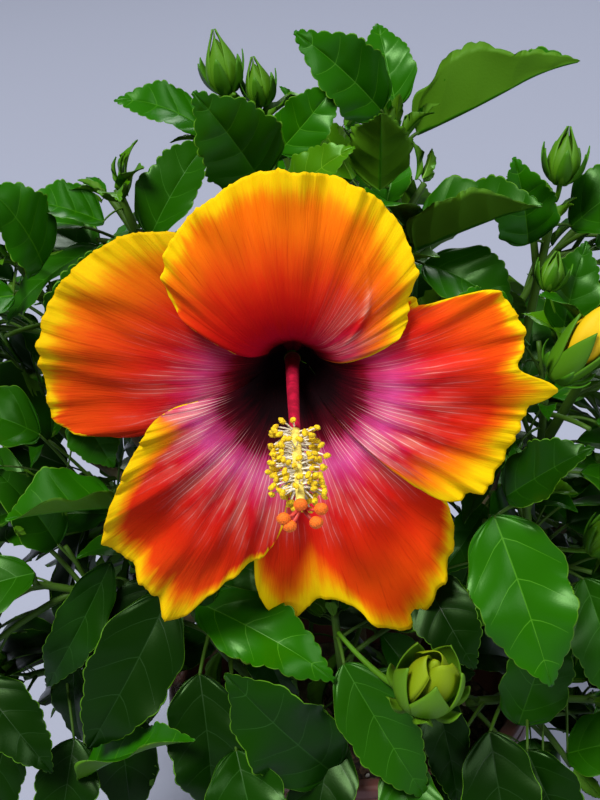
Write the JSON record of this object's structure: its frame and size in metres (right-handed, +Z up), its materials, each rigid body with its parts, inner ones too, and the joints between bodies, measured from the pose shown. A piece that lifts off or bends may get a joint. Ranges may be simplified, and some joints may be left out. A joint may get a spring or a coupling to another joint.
{
  "type": "potted hibiscus shrub",
  "caption": "Small bushy hibiscus shrub in a plain tapered nursery pot, with an open ruffled bloom, buds and glossy toothed leaves.",
  "frame": {"origin": "centre of the pot's flat underside", "axes": "+Z up, the bloom faces -Y"},
  "size_m": [0.3412, 0.3094, 0.408],
  "materials": {
    "pot": "satin moulded plastic in terracotta brown",
    "soil": "damp bark and peat potting mix",
    "bark": "thin grey-brown bark with pale pores, greener on young wood",
    "foliage": "glossy dark green leaves with paler veins and matte undersides",
    "petal": "velvety petals, dark eye through magenta and red to a yellow margin",
    "stamen": "powdery yellow anthers on a pink column, orange stigma pads",
    "bud": "matte yellow-green calyx and buds"
  },
  "bodies": {
    "root": {"pot": "pot", "soil": "soil", "stem_main": "bark", "stem_left": "bark", "stem_right": "bark", "stem_back": "bark", "bough_top_centre": "bark", "bough_top_left": "bark", "bough_bloom": "bark", "bough_right_back": "bark", "bough_upper_left": "bark", "bough_left_top": "bark", "bough_left_side": "bark", "bough_left_low": "bark", "bough_low_left": "bark", "bough_front_left": "bark", "bough_front_low": "bark", "bough_front_right": "bark", "bough_right_low": "bark", "bough_upper_right": "bark", "bough_right_side": "bark", "bough_back_top": "bark", "bough_back_left": "bark", "bough_back_right": "bark", "bough_back_low_left": "bark", "bough_back_low_right": "bark", "bough_back_low": "bark", "foliage_top_centre": "foliage", "foliage_top_left": "foliage", "foliage_centre": "foliage", "foliage_right_back": "foliage", "foliage_upper_left": "foliage", "foliage_left_top": "foliage", "foliage_left_mid": "foliage", "foliage_left_side": "foliage", "foliage_left_low": "foliage", "foliage_low_left": "foliage", "foliage_front_left": "foliage", "foliage_front_low": "foliage", "foliage_front_right": "foliage", "foliage_right_low": "foliage", "foliage_right_mid": "foliage", "foliage_upper_right": "foliage", "foliage_right_side": "foliage", "foliage_back_top": "foliage", "foliage_back_left": "foliage", "foliage_back_mid": "foliage", "foliage_back_right": "foliage", "foliage_back_low_left": "foliage", "foliage_back_low_right": "foliage", "foliage_back_low": "foliage", "petal_top": "petal", "petal_left": "petal", "petal_low_left": "petal", "petal_low_right": "petal", "petal_right": "petal", "staminal_column": "stamen", "calyx": "bud"}
  },
  "joints": []
}
